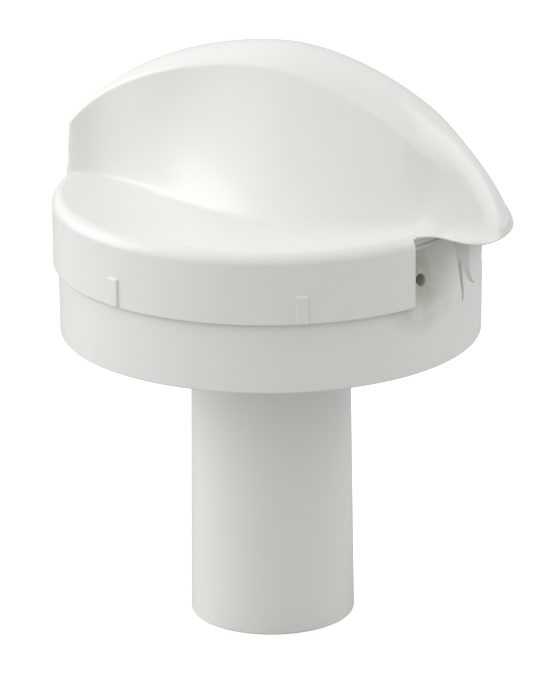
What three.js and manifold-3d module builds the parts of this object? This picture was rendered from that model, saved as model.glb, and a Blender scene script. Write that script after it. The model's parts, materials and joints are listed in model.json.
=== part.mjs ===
// Vented deck fill cap with a rotary swept-fin cover, a deck cup and a plain hose tail.
// Millimetres, +Z up, +X along the fin towards its beak. The origin is on the cap's turning
// axis, at the height of the whole fitting's centre of volume. The heights below are from the
// cup's underside, and the group is lowered by CENTRE_Z at the end.
import * as THREE from "three";
import { mergeVertices } from "three/addons/utils/BufferGeometryUtils.js";
import Module from "manifold-3d";

const wasm = await Module();
wasm.setup();

// Driving dimensions
const CAP_R = 50.5; // outside of the turning cap
const CUP_R = 49.3; // outside of the fixed cup
const TAIL_R = 18.6; // outside of the hose tail, where it meets the cup
const TAIL_LENGTH = 70.3; // below the cup
const CENTRE_Z = 9.5; // centre of volume above the cup's underside
const SEAM_Z = 16.5; // lower edge of the cap's skirt
const DISC_Z = 33.2; // flat top of the cap
const GAP = 0.25; // running gap between the cap and the cup
const REST = 0.05; // gap between seated pieces
const ROUND = 72; // facets around the large turned pieces
const MID_ROUND = 48; // facets around the plug and its valve
const SMALL_ROUND = 12; // facets around screws and holes

// Colours
const WHITE = 0xe9eae4;
const SEAL_GREY = 0x4a4d4c;
const STEEL = 0xb8bcc0;
const INNER_WHITE = 0xdfe1dc;

const deg = THREE.MathUtils.degToRad;

// ---------- solids ----------

function toSolid(geometry) {
  const bare = geometry.clone();
  bare.deleteAttribute("normal");
  bare.deleteAttribute("uv");
  const merged = mergeVertices(bare, 1e-4);
  const mesh = new wasm.Mesh({
    numProp: 3,
    vertProperties: new Float32Array(merged.attributes.position.array),
    triVerts: new Uint32Array(merged.index.array),
  });
  mesh.merge();
  return new wasm.Manifold(mesh);
}

function toGeometry(solid) {
  const mesh = solid.getMesh();
  const geometry = new THREE.BufferGeometry();
  geometry.setAttribute("position", new THREE.BufferAttribute(mesh.vertProperties, 3));
  geometry.setIndex(new THREE.BufferAttribute(mesh.triVerts, 1));
  geometry.computeVertexNormals();
  return geometry;
}

// Turns a profile of [radius, height] points about Z. The profile runs anticlockwise:
// up the outside and down the inside.
function turned(profile, facets = ROUND) {
  const points = profile.map(([r, z]) => new THREE.Vector2(r, z));
  const onAxis = points[0].x === 0 && points[points.length - 1].x === 0;
  if (!onAxis) points.push(points[0].clone());
  return new THREE.LatheGeometry(points, facets).rotateX(Math.PI / 2);
}

function ring(inner, outer, bottom, top, facets = ROUND) {
  return turned([[inner, bottom], [outer, bottom], [outer, top], [inner, top]], facets);
}

function rod(radius, bottom, top, facets = SMALL_ROUND) {
  return turned([[0, bottom], [radius, bottom], [radius, top], [0, top]], facets);
}

// A rod along Z moved out to a radius and an angle
function rodAt(radius, bottom, top, pitchRadius, angle) {
  const geometry = rod(radius, bottom, top);
  geometry.translate(pitchRadius * Math.cos(angle), pitchRadius * Math.sin(angle), 0);
  return geometry;
}

// A rod lying along a radius of the cup
function radialRod(radius, from, to, height, angle) {
  return rod(radius, from, to).rotateY(Math.PI / 2).translate(0, 0, height).rotateZ(angle);
}

// Part of a ring, cut out by two angles
function sector(inner, outer, bottom, top, from, to, pitch = deg(3)) {
  const steps = Math.max(2, Math.ceil((to - from) / pitch));
  const shape = new THREE.Shape();
  for (let i = 0; i <= steps; i++) {
    const a = from + ((to - from) * i) / steps;
    const x = outer * Math.cos(a);
    const y = outer * Math.sin(a);
    if (i === 0) shape.moveTo(x, y);
    else shape.lineTo(x, y);
  }
  for (let i = steps; i >= 0; i--) {
    const a = from + ((to - from) * i) / steps;
    shape.lineTo(inner * Math.cos(a), inner * Math.sin(a));
  }
  return new THREE.ExtrudeGeometry(shape, { depth: top - bottom, bevelEnabled: false })
    .translate(0, 0, bottom);
}

function quarterArc(centreR, centreZ, radius, steps) {
  const points = [];
  for (let i = 0; i <= steps; i++) {
    const a = (Math.PI / 2) * (i / steps);
    points.push([centreR + radius * Math.cos(a), centreZ + radius * Math.sin(a)]);
  }
  return points;
}

function spaced(count, start = 0) {
  return Array.from({ length: count }, (_, i) => start + (2 * Math.PI * i) / count);
}

// ---------- the scene graph ----------

const group = new THREE.Group();
group.position.z = -CENTRE_Z;
group.name = "deck_fill_cap";

const whitePlastic = new THREE.MeshStandardMaterial({ color: WHITE, roughness: 0.25, metalness: 0 });
const innerPlastic = new THREE.MeshStandardMaterial({ color: INNER_WHITE, roughness: 0.45, metalness: 0 });
const sealRubber = new THREE.MeshStandardMaterial({ color: SEAL_GREY, roughness: 0.75, metalness: 0 });
const steel = new THREE.MeshStandardMaterial({ color: STEEL, roughness: 0.3, metalness: 1 });

function addPart(parent, name, shape, material) {
  const geometry = shape.isBufferGeometry ? shape : toGeometry(shape);
  const mesh = new THREE.Mesh(geometry, material);
  mesh.name = name;
  parent.add(mesh);
  return mesh;
}

// ---------- fixed cup ----------

const LIP_Z = 29.8; // top of the cup's wall, under the cap
const LIP_R = 47.6; // the wall leans in above the shoulder
const SHOULDER_Z = 15;
const FLOOR_TOP = 4;
const WALL = 2.8;
const SEAT_TOP = 9; // raised seat for the tail's flange
const SEAT_R = 31;
const TAIL_HOLE_R = TAIL_R + 0.15;
const SCREW_PITCH_R = 25.5; // tail screws
const TAIL_SCREW_ANGLES = spaced(4, deg(45));
const GASKET_GROOVE = { inner: 39.8, outer: 45, depth: 1.5 };
const FIXING_PITCH_R = 36.5;
const FIXING_HOLE_R = 2.4;

// Vent pocket: a flat-backed hollow in the wall, with a small port through its back
const POCKET_ANGLE = deg(-30);
const POCKET_END = deg(-30.2); // its far side is closed, just behind the edge of the cap's notch
const POCKET_BACK = 45.5; // distance of the flat back from the cup's axis
const POCKET_FOOT_Z = 12.4;
const POCKET_FLAT_Z = 27.5; // the back is flat above this height
const POCKET_TOP_Z = 28.8;
const POCKET_SKIN = 2.6;
const POCKET_REACH = 17; // half-width of the thickening behind the pocket
const PORT_ANGLE = deg(-24);
const PORT_Z = 21;
const PORT_R = 1.4;
const DUCT_R = 4.8;
const DUCT_END_R = 36.5; // inner end of the vent duct, from the cup's axis
const SCREEN_R = 3.9;
const SCREEN_SEAT = 1.2;

// Tapered groove beside the pocket, which drains it
const GROOVE = { angle: deg(-8), topHalf: 1.6, footHalf: 0.3, footZ: 13, topZ: 28.8, depth: 2 };

// Stop lug: a low tab on the wall, with straight sides and an elliptical foot
const LUG_ANGLE = deg(1.5);
const LUG_HALF_WIDTH = 5.7;
const LUG_FOOT = 8.8; // height of the elliptical foot
const LUG_FOOT_Z = 24;
const LUG_TOP_Z = 26.5;
const LUG_PROUD = 0.6;

// A flat outline of [sideways, up] points, made solid between two distances from the axis
function radialSlab(outline, from, to, angle) {
  const shape = new THREE.Shape(outline.map(([x, y]) => new THREE.Vector2(x, y)));
  return new THREE.ExtrudeGeometry(shape, { depth: to - from, bevelEnabled: false })
    .rotateX(Math.PI / 2)
    .rotateZ(Math.PI / 2)
    .translate(from, 0, 0)
    .rotateZ(angle);
}

// An upright profile of [distance from the axis, up] points, made solid sideways
function sidewaysSlab(profile, halfWidth, angle) {
  const shape = new THREE.Shape(profile.map(([x, y]) => new THREE.Vector2(x, y)));
  return new THREE.ExtrudeGeometry(shape, { depth: 2 * halfWidth, bevelEnabled: false })
    .rotateX(Math.PI / 2)
    .translate(0, halfWidth, 0)
    .rotateZ(angle);
}

function pocket() {
  const outside = CUP_R + 6;
  const back = [];
  const steps = 6;
  for (let i = 0; i <= steps; i++) {
    const t = i / steps;
    const depth = (CUP_R - POCKET_BACK) * (1 - (1 - t) ** 2);
    back.push([CUP_R - depth, POCKET_FOOT_Z + (POCKET_FLAT_Z - POCKET_FOOT_Z) * t]);
  }
  const profile = [...back, [POCKET_BACK, POCKET_TOP_Z], [outside, POCKET_TOP_Z], [outside, POCKET_FOOT_Z]];
  const reach = sector(CUP_R - 14, CUP_R + 8, POCKET_FOOT_Z - 1, POCKET_TOP_Z + 1, POCKET_END, 0);
  return toSolid(sidewaysSlab(profile, 24, POCKET_ANGLE)).intersect(toSolid(reach));
}

function pocketBacking() {
  const front = POCKET_BACK + 3;
  const rear = POCKET_BACK - POCKET_SKIN;
  const profile = [
    [rear, FLOOR_TOP - 1],
    [front, FLOOR_TOP - 1],
    [front, LIP_Z - 0.1],
    [rear, LIP_Z - 0.1],
  ];
  const slab = sidewaysSlab(profile, POCKET_REACH, POCKET_ANGLE);
  return toSolid(slab).intersect(toSolid(ring(CUP_R - 14, CUP_R - 2, FLOOR_TOP - 2, LIP_Z)));
}

function drainGroove() {
  const { angle, topHalf, footHalf, footZ, topZ, depth } = GROOVE;
  const outline = [[-footHalf, footZ], [footHalf, footZ], [topHalf, topZ], [-topHalf, topZ]];
  return radialSlab(outline, CUP_R - depth, CUP_R + 3, angle);
}

function stopLug() {
  const outline = [[LUG_HALF_WIDTH, LUG_TOP_Z], [-LUG_HALF_WIDTH, LUG_TOP_Z]];
  const steps = 12;
  for (let i = 0; i <= steps; i++) {
    const a = Math.PI + (Math.PI * i) / steps;
    outline.push([LUG_HALF_WIDTH * Math.cos(a), LUG_FOOT_Z + LUG_FOOT * Math.sin(a)]);
  }
  const skin = turned([
    [CUP_R - 2.6, LUG_FOOT_Z - LUG_FOOT - 1],
    [CUP_R + 0.2, LUG_FOOT_Z - LUG_FOOT - 1],
    [CUP_R + LUG_PROUD, LUG_FOOT_Z],
    [CUP_R + LUG_PROUD, LUG_TOP_Z + 1],
    [CUP_R - 2.6, LUG_TOP_Z + 1],
  ]);
  return toSolid(radialSlab(outline, CUP_R - 4, CUP_R + 4, LUG_ANGLE)).intersect(toSolid(skin));
}

function cup() {
  const body = turned([
    [TAIL_HOLE_R, 0],
    [GASKET_GROOVE.inner, 0],
    [GASKET_GROOVE.inner, GASKET_GROOVE.depth],
    [GASKET_GROOVE.outer, GASKET_GROOVE.depth],
    [GASKET_GROOVE.outer, 0],
    [CUP_R - 0.5, 0],
    [CUP_R - 0.1, 0.4],
    [CUP_R, SHOULDER_Z],
    [LIP_R, LIP_Z],
    [LIP_R - WALL, LIP_Z],
    [CUP_R - WALL, SHOULDER_Z],
    [CUP_R - WALL - 0.2, FLOOR_TOP],
    [SEAT_R, FLOOR_TOP],
    [SEAT_R, SEAT_TOP],
    [TAIL_HOLE_R, SEAT_TOP],
  ]);
  let solid = toSolid(body)
    .add(pocketBacking())
    .add(toSolid(radialRod(DUCT_R, DUCT_END_R, POCKET_BACK - 1, PORT_Z, PORT_ANGLE)))
    .subtract(pocket())
    .subtract(toSolid(drainGroove()))
    .subtract(toSolid(radialRod(PORT_R, DUCT_END_R - 2, CUP_R + 2, PORT_Z, PORT_ANGLE)))
    .subtract(toSolid(radialRod(SCREEN_R, DUCT_END_R - 2, DUCT_END_R + SCREEN_SEAT, PORT_Z, PORT_ANGLE)))
    .add(stopLug());
  for (const angle of TAIL_SCREW_ANGLES) {
    solid = solid.subtract(toSolid(rodAt(1.35, 2.2, SEAT_TOP + 1, SCREW_PITCH_R, angle)));
  }
  for (const angle of spaced(4)) {
    solid = solid.subtract(toSolid(rodAt(FIXING_HOLE_R, -1, FLOOR_TOP + 1, FIXING_PITCH_R, angle)));
  }
  return solid;
}

function deckGasket() {
  const { inner, outer, depth } = GASKET_GROOVE;
  return ring(inner + 0.2, outer - 0.2, 0, depth - REST);
}

// Round gauze that snaps into the inner end of the vent duct
function ventScreen() {
  const thickness = 0.8;
  const start = DUCT_END_R + SCREEN_SEAT - REST - thickness;
  let solid = toSolid(rod(SCREEN_R - 0.1, 0, thickness));
  for (const x of [-2, 0, 2]) {
    for (const y of [-2, 0, 2]) {
      const hole = new THREE.BoxGeometry(1.2, 1.2, 4).translate(x, y, 0);
      solid = solid.subtract(toSolid(hole));
    }
  }
  return toGeometry(solid)
    .rotateY(Math.PI / 2)
    .translate(start, 0, PORT_Z)
    .rotateZ(PORT_ANGLE);
}

// ---------- hose tail ----------

const TAIL_FOOT_R = 19.35;
const BORE_R = 15.6;
const NECK_R = 19.4;
const NECK_TOP = 22;
const TAIL_GASKET = 0.9;
const FLANGE_BOTTOM = SEAT_TOP + TAIL_GASKET + 2 * REST;
const FLANGE_TOP = FLANGE_BOTTOM + 3;
const FLANGE_R = 30.5;

function hoseTail() {
  const body = turned([
    [BORE_R, -TAIL_LENGTH],
    [TAIL_FOOT_R - 0.3, -TAIL_LENGTH],
    [TAIL_FOOT_R, -TAIL_LENGTH + 0.3],
    [TAIL_R, -1],
    [TAIL_R, FLANGE_BOTTOM],
    [FLANGE_R, FLANGE_BOTTOM],
    [FLANGE_R, FLANGE_TOP],
    [NECK_R, FLANGE_TOP],
    [NECK_R, NECK_TOP],
    [BORE_R + 1, NECK_TOP],
    [BORE_R, NECK_TOP - 1.5],
  ]);
  let solid = toSolid(body);
  for (const angle of TAIL_SCREW_ANGLES) {
    solid = solid.subtract(toSolid(rodAt(1.9, FLANGE_BOTTOM - 1, FLANGE_TOP + 1, SCREW_PITCH_R, angle)));
  }
  return solid;
}

function tailGasket() {
  const bottom = SEAT_TOP + REST;
  let solid = toSolid(ring(TAIL_R + 0.5, FLANGE_R - 0.2, bottom, bottom + TAIL_GASKET));
  for (const angle of TAIL_SCREW_ANGLES) {
    solid = solid.subtract(toSolid(rodAt(1.9, SEAT_TOP - 1, FLANGE_TOP, SCREW_PITCH_R, angle)));
  }
  return solid;
}

// Pan-head screw with a cross recess, standing on z = 0 with its shank below
function panScrew(shankR, headR, headHeight, length) {
  const body = turned([
    [0, -length],
    [shankR * 0.5, -length],
    [shankR, -length + shankR],
    [shankR, 0],
    [headR, 0],
    [headR, headHeight * 0.45],
    [headR * 0.72, headHeight],
    [0, headHeight],
  ], SMALL_ROUND);
  const slot = new THREE.BoxGeometry(headR * 1.1, headR * 0.28, headHeight)
    .translate(0, 0, headHeight);
  const crossSlot = slot.clone().rotateZ(Math.PI / 2);
  return toGeometry(toSolid(body).subtract(toSolid(slot)).subtract(toSolid(crossSlot)));
}

// ---------- turning cap ----------

const SKIRT_TOP = 30.4; // the rim's round starts here
const RIM_ROUND = DISC_Z - SKIRT_TOP;
const DISC_UNDER = 31.2;
const SKIRT_IN_TOP = LIP_R + 0.35;
const NOTCH_HALF = deg(30.7);
const RIB_HALF = deg(1.7);
const RIB_PROUD = 0.5;
const RIB_TOP = 23.4;
const RIB_ANGLES = [63, 115.5, 180, -115.5, -63].map(deg);
const SHELL_WALL = 2.4;
const WEB_IN_R = 44.6; // wall that closes the fin's hollow at the rim

// Fin: the crest is two quarter superellipses that meet at the top
const CREST = { baseZ: 25, height: 43.6, topX: 3.3, heelA: 60, heelN: 1.97, beakA: 54.4, beakN: 1.7 };
const HEEL_X = -49.4;
const BEAK_X = CREST.topX + CREST.beakA;
const HOOD = { fromX: 44.5, toX: 57, z: 32.4, drop: 4.5, lip: 0.82, tip: 3 };
const LEAF = { heel: 2.6, half: 25.4, fromX: -44, widestX: 11, power: 1.7 };
const NOSE = { x: 44.2, half: 18.9 }; // the beak's outline is a half ellipse
const FLARE = { fromX: 41, toX: 57.5, widestX: 43.3, reach: 5 }; // foot turned out over the notch's corners
const BAND = { heel: 2.4, swell: 9.9, closesFrom: 44, narrowsFrom: 36, narrowsTo: 50, narrowing: 0.3 };
const FACE = { belly: 0.6, rise: 0.22 };

function crestZ(x) {
  const onHeel = x < CREST.topX;
  const a = onHeel ? CREST.heelA : CREST.beakA;
  const n = onHeel ? CREST.heelN : CREST.beakN;
  const t = Math.min(1, Math.abs(x - CREST.topX) / a);
  return CREST.baseZ + CREST.height * (1 - t ** n) ** (1 / n);
}

function hoodZ(x) {
  const s = THREE.MathUtils.clamp((x - HOOD.fromX) / (HOOD.toX - HOOD.fromX), 0, 1);
  return HOOD.z - HOOD.drop * Math.sin((Math.PI / 2) * s) ** 2;
}

// Half-width of the fin where it meets the disc, and of the hood above its turned-out edge
function baseHalf(x) {
  if (x > NOSE.x) {
    const s = Math.min(1, (x - NOSE.x) / (BEAK_X - NOSE.x));
    return NOSE.half * Math.sqrt(1 - s * s);
  }
  if (x < LEAF.widestX) {
    const turn = THREE.MathUtils.clamp((x - LEAF.fromX) / (LEAF.widestX - LEAF.fromX), 0, 1);
    return LEAF.heel + (LEAF.half - LEAF.heel) * Math.sin((turn * Math.PI) / 2) ** LEAF.power;
  }
  const fall = (x - LEAF.widestX) / (NOSE.x - LEAF.widestX);
  return NOSE.half + (LEAF.half - NOSE.half) * Math.cos((fall * Math.PI) / 2) ** 1.5;
}

// How far the foot turns out: most at the notch's corners, fading towards the beak
function footFlare(x) {
  if (x < FLARE.widestX) return FLARE.reach * THREE.MathUtils.smoothstep(x, FLARE.fromX, FLARE.widestX);
  const fade = Math.max(0, (FLARE.toX - x) / (FLARE.toX - FLARE.widestX));
  return FLARE.reach * fade * fade;
}

function bandClosing(x) {
  const s = THREE.MathUtils.clamp((x - BAND.closesFrom) / (BEAK_X - BAND.closesFrom), 0, 1);
  return (1 - s ** 3) ** (1 / 3);
}

// Half-width of the crowned band along the top, and how far its edges lie below the crest
function bandHalf(x) {
  const u = THREE.MathUtils.clamp((x - HEEL_X) / (2 * -HEEL_X), 0, 1);
  const narrowed = 1 - BAND.narrowing * THREE.MathUtils.smoothstep(x, BAND.narrowsFrom, BAND.narrowsTo);
  return (BAND.heel + BAND.swell * u ** 0.4) * narrowed * bandClosing(x);
}

function bandDrop(x) {
  const u = (x - HEEL_X) / (2 * -HEEL_X);
  const s = THREE.MathUtils.clamp((x - BAND.closesFrom) / (BEAK_X - BAND.closesFrom), 0, 1);
  return (0.9 + 4.6 * u) * (1 - s * s) ** 0.7;
}

// The smaller of two lengths, rounded off where they are nearly equal
function softMin(a, b) {
  return (a ** -6 + b ** -6) ** (-1 / 6);
}

// Cross-section of the fin at x, from its right foot over the crest to its left foot
function finSection(x, inset) {
  const bottom = hoodZ(x);
  const crest = Math.max(crestZ(x) - inset, bottom + HOOD.tip);
  const lip = HOOD.lip * Math.min(1, (crest - bottom) / 8);
  const foldZ = bottom + lip;
  const half = Math.max(0.4, baseHalf(x) - inset * 1.15);
  const edgeHalf = softMin(half, Math.max(0.3, bandHalf(x) - inset * 0.6));
  const edgeZ = Math.max(foldZ + 0.2, crest - bandDrop(x) * (inset > 0 ? 0.6 : 1));
  const bellyY = edgeHalf + FACE.belly * (half - edgeHalf);
  const bellyZ = foldZ + FACE.rise * (edgeZ - foldZ);
  const flare = inset > 0 ? 0.2 : 0.2 + footFlare(x);
  const right = [
    [half + flare, bottom - (inset > 0 ? 6 : 0)],
    [half + flare * 0.97, foldZ - 0.4 * lip],
    [half + flare * 0.4, foldZ + 0.12 * (flare - 0.2)],
  ];
  const faceFrom = 0.02 + 0.03 * (flare - 0.2);
  const faceSteps = 7;
  for (let i = 0; i <= faceSteps; i++) {
    const t = faceFrom + ((1 - faceFrom) * i) / faceSteps;
    const a = (1 - t) * (1 - t);
    const b = 2 * t * (1 - t);
    const c = t * t;
    right.push([
      a * half + b * bellyY + c * edgeHalf,
      a * foldZ + b * bellyZ + c * edgeZ,
    ]);
  }
  const crownSteps = 4;
  for (let i = 1; i < crownSteps; i++) {
    const v = 1 - i / crownSteps;
    right.push([edgeHalf * v, crest - (crest - edgeZ) * v * v]);
  }
  const left = right.map(([y, z]) => [-y, z]).reverse();
  return [...right, [0, crest], ...left];
}

function finStations(from, noseReach) {
  const stations = [];
  const along = 22;
  for (let i = 0; i < along; i++) {
    stations.push(from + ((NOSE.x - from) * i) / along);
  }
  const roundNose = 9;
  for (let i = 0; i <= roundNose; i++) {
    stations.push(NOSE.x + noseReach * Math.sin((deg(83) * i) / roundNose));
  }
  return stations;
}

// Lofts the fin's sections into a closed solid
function finSolid(from, noseReach, inset) {
  const rings = finStations(from, noseReach).map((x) => finSection(x, inset).map(([y, z]) => [x, y, z]));
  const count = rings[0].length;
  const positions = rings.flat(2);
  const index = [];
  for (let s = 0; s + 1 < rings.length; s++) {
    for (let i = 0; i < count; i++) {
      const j = (i + 1) % count;
      const a = s * count + i;
      const b = s * count + j;
      const c = (s + 1) * count + j;
      const d = (s + 1) * count + i;
      index.push(a, c, d, a, b, c);
    }
  }
  // End faces: strips between the matching points of the left and right sides
  const endFace = (base, outward) => {
    for (let i = 0; i < count / 2 - 1; i++) {
      const a = base + i;
      const b = base + i + 1;
      const c = base + count - 2 - i;
      const d = base + count - 1 - i;
      const faces = [[a, b, c], [a, c, d]].filter((f) => new Set(f).size === 3);
      for (const [p, q, r] of faces) index.push(...(outward ? [p, q, r] : [p, r, q]));
    }
  };
  endFace(0, false);
  endFace((rings.length - 1) * count, true);
  const geometry = new THREE.BufferGeometry();
  geometry.setAttribute("position", new THREE.BufferAttribute(new Float32Array(positions), 3));
  geometry.setIndex(index);
  return toSolid(geometry);
}

const LINER_BOSS_PITCH = 30.5;
const LINER_SCREW_ANGLES = [72, 108, -72, -108].map(deg);
const LINER_TOP = 27.4;
const LINER_BOTTOM = 24.9;

function capShell() {
  const outside = turned([
    [0, SEAM_Z],
    [CAP_R - 0.3, SEAM_Z],
    [CAP_R, SEAM_Z + 0.3],
    ...quarterArc(CAP_R - RIM_ROUND, SKIRT_TOP, RIM_ROUND, 6),
    [0, DISC_Z],
  ]);
  const inside = turned([
    [0, SEAM_Z - 1],
    [CUP_R + GAP, SEAM_Z - 1],
    [SKIRT_IN_TOP, DISC_UNDER],
    [0, DISC_UNDER],
  ]);
  const finHollow = finSolid(-38, BEAK_X - NOSE.x - SHELL_WALL, SHELL_WALL);
  const rimWeb = ring(WEB_IN_R, SKIRT_IN_TOP + 0.2, HOOD.z - 7, CREST.baseZ + CREST.height);
  const notch = sector(CAP_R - 8, CAP_R + 4, SEAM_Z - 1, DISC_UNDER, -NOTCH_HALF, NOTCH_HALF);
  const brim = sector(SKIRT_IN_TOP, CAP_R + 4, DISC_UNDER - 1, HOOD.z, -NOTCH_HALF, NOTCH_HALF);
  let solid = toSolid(outside);
  for (const angle of RIB_ANGLES) {
    const rib = sector(CAP_R - 0.5, CAP_R + RIB_PROUD, SEAM_Z, RIB_TOP, angle - RIB_HALF, angle + RIB_HALF);
    solid = solid.add(toSolid(rib));
  }
  solid = solid
    .subtract(toSolid(notch))
    .subtract(toSolid(brim))
    .add(finSolid(HEEL_X, BEAK_X - NOSE.x, 0))
    .subtract(toSolid(inside))
    .subtract(finHollow.subtract(toSolid(rimWeb)));
  for (const angle of LINER_SCREW_ANGLES) {
    solid = solid
      .add(toSolid(rodAt(3.2, LINER_TOP + REST, DISC_UNDER + 0.5, LINER_BOSS_PITCH, angle)))
      .subtract(toSolid(rodAt(1.2, LINER_TOP - 1, DISC_UNDER + 0.6, LINER_BOSS_PITCH, angle)));
  }
  return solid;
}

function lipGasket() {
  return ring(WEB_IN_R + 0.4, SKIRT_IN_TOP - 0.5, LIP_Z + 0.1, DISC_UNDER - REST);
}

const JOURNAL_R = 9.7;

function capLiner() {
  const linerR = 34.8;
  let solid = toSolid(ring(JOURNAL_R + 0.1, linerR, LINER_BOTTOM, LINER_TOP));
  for (const angle of LINER_SCREW_ANGLES) {
    solid = solid.subtract(toSolid(rodAt(1.7, LINER_BOTTOM - 1, LINER_TOP + 1, LINER_BOSS_PITCH, angle)));
  }
  for (const angle of spaced(6)) {
    solid = solid.subtract(toSolid(rodAt(2.5, LINER_BOTTOM - 1, LINER_TOP + 1, 21, angle)));
  }
  return solid;
}

// ---------- seal plug and its relief valve ----------

const PLUG_R = BORE_R - 0.3;
const PLUG_BOTTOM = 9.5;
const PLUG_HEAD_R = 19.2;
const PLUG_HEAD_BOTTOM = NECK_TOP + REST;
const PLUG_HEAD_TOP = 24.2;
const JOURNAL_TOP = 30.4;
const CLIP_BOTTOM = 27.7;
const CLIP_THICKNESS = 1;
const VALVE_BORE_R = 11;
const WEB_BOTTOM = 23;
const O_RING_SECTION = 1.2;
const O_RING_R = BORE_R - 0.06 - O_RING_SECTION;
const O_RING_HEIGHTS = { upper: 18, lower: 13.4 };
const GROOVE_R = O_RING_R - O_RING_SECTION - REST;
const GROOVE_HALF = O_RING_SECTION + 0.15;
const SEAT_HOLE_R = 5;
const SEAT_TOP_Z = 12;
const STEM_R = 1.7;

function oRingGroove(height) {
  return [
    [PLUG_R, height - GROOVE_HALF],
    [GROOVE_R, height - GROOVE_HALF],
    [GROOVE_R, height + GROOVE_HALF],
    [PLUG_R, height + GROOVE_HALF],
  ];
}

function sealPlug() {
  const clipGrooveR = JOURNAL_R - 1;
  const body = turned([
    [VALVE_BORE_R, PLUG_BOTTOM],
    [PLUG_R - 0.8, PLUG_BOTTOM],
    [PLUG_R, PLUG_BOTTOM + 0.8],
    ...oRingGroove(O_RING_HEIGHTS.lower),
    ...oRingGroove(O_RING_HEIGHTS.upper),
    [PLUG_R, PLUG_HEAD_BOTTOM],
    [PLUG_HEAD_R, PLUG_HEAD_BOTTOM],
    [PLUG_HEAD_R, PLUG_HEAD_TOP],
    [JOURNAL_R, PLUG_HEAD_TOP],
    [JOURNAL_R, CLIP_BOTTOM - REST],
    [clipGrooveR, CLIP_BOTTOM - REST],
    [clipGrooveR, CLIP_BOTTOM + CLIP_THICKNESS + REST],
    [JOURNAL_R, CLIP_BOTTOM + CLIP_THICKNESS + REST],
    [JOURNAL_R, JOURNAL_TOP],
    [7.5, JOURNAL_TOP],
    [7.5, WEB_BOTTOM + 2.4],
    [STEM_R + 0.2, WEB_BOTTOM + 2.4],
    [STEM_R + 0.2, WEB_BOTTOM],
    [VALVE_BORE_R, WEB_BOTTOM],
  ], MID_ROUND);
  let solid = toSolid(body);
  for (const angle of spaced(6)) {
    solid = solid.subtract(toSolid(rodAt(1.5, WEB_BOTTOM - 1, WEB_BOTTOM + 4, 4.9, angle)));
  }
  return solid;
}

function oRing(height) {
  const profile = [];
  const steps = 8;
  for (let i = 0; i < steps; i++) {
    const a = (2 * Math.PI * i) / steps;
    profile.push([O_RING_R + O_RING_SECTION * Math.cos(a), height + O_RING_SECTION * Math.sin(a)]);
  }
  return turned(profile, MID_ROUND);
}

function thrustWasher() {
  return ring(JOURNAL_R + 0.3, 16, PLUG_HEAD_TOP + REST, LINER_BOTTOM - 2 * REST, MID_ROUND);
}

function plugCirclip() {
  const gapHalf = deg(14);
  const inner = JOURNAL_R - 0.9;
  const outer = JOURNAL_R + 2.8;
  const top = CLIP_BOTTOM + CLIP_THICKNESS;
  return sector(inner, outer, CLIP_BOTTOM, top, gapHalf, 2 * Math.PI - gapHalf, deg(8));
}

function valveSeat() {
  return turned([
    [SEAT_HOLE_R, PLUG_BOTTOM],
    [VALVE_BORE_R - 0.08, PLUG_BOTTOM],
    [VALVE_BORE_R - 0.08, SEAT_TOP_Z - 0.6],
    [SEAT_HOLE_R + 2, SEAT_TOP_Z - 0.6],
    [SEAT_HOLE_R + 1.2, SEAT_TOP_Z],
    [SEAT_HOLE_R, SEAT_TOP_Z],
  ], MID_ROUND);
}

const POPPET_BOTTOM = SEAT_TOP_Z + 0.85;
const POPPET_TOP = POPPET_BOTTOM + 1.8;

function valvePoppet() {
  return turned([
    [0, POPPET_BOTTOM],
    [8.2, POPPET_BOTTOM],
    [8.2, POPPET_TOP - 0.4],
    [7.8, POPPET_TOP],
    [STEM_R, POPPET_TOP],
    [STEM_R, 28.2],
    [STEM_R - 0.5, 28.7],
    [0, 28.7],
  ], MID_ROUND);
}

function poppetSeal() {
  return ring(4.4, 7.9, SEAT_TOP_Z + 0.05, POPPET_BOTTOM - REST, MID_ROUND);
}

class Helix extends THREE.Curve {
  constructor(radius, bottom, top, turns) {
    super();
    this.radius = radius;
    this.bottom = bottom;
    this.rise = top - bottom;
    this.turns = turns;
  }
  getPoint(t, target = new THREE.Vector3()) {
    const a = 2 * Math.PI * this.turns * t;
    return target.set(
      this.radius * Math.cos(a),
      this.radius * Math.sin(a),
      this.bottom + this.rise * t,
    );
  }
}

function valveSpring() {
  const wire = 0.45;
  const section = new THREE.Shape();
  section.absarc(0, 0, wire, 0, 2 * Math.PI, false);
  const path = new Helix(3.3, POPPET_TOP + wire + 0.1, WEB_BOTTOM - wire - 0.1, 5);
  return new THREE.ExtrudeGeometry(section, {
    steps: 80,
    curveSegments: 3,
    bevelEnabled: false,
    extrudePath: path,
  });
}

// ---------- assembly ----------

const base = new THREE.Group();
base.name = "base";
group.add(base);
addPart(base, "base_cup", cup(), whitePlastic);
addPart(base, "deck_gasket", deckGasket(), sealRubber);
addPart(base, "vent_screen", ventScreen(), steel);
addPart(base, "hose_tail", hoseTail(), whitePlastic);
addPart(base, "tail_gasket", tailGasket(), sealRubber);
TAIL_SCREW_ANGLES.forEach((angle, i) => {
  const screw = addPart(base, `tail_screw_${i + 1}`, panScrew(1.25, 3.4, 2.2, 9.5), steel);
  screw.position.set(SCREW_PITCH_R * Math.cos(angle), SCREW_PITCH_R * Math.sin(angle), FLANGE_TOP + REST);
});

const plug = new THREE.Group();
plug.name = "plug";
group.add(plug);
addPart(plug, "seal_plug", sealPlug(), innerPlastic);
addPart(plug, "plug_o_ring_upper", oRing(O_RING_HEIGHTS.upper), sealRubber);
addPart(plug, "plug_o_ring_lower", oRing(O_RING_HEIGHTS.lower), sealRubber);
addPart(plug, "thrust_washer", thrustWasher(), innerPlastic);
addPart(plug, "plug_circlip", plugCirclip(), steel);
addPart(plug, "valve_seat", valveSeat(), innerPlastic);
addPart(plug, "valve_spring", valveSpring(), steel);

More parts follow.
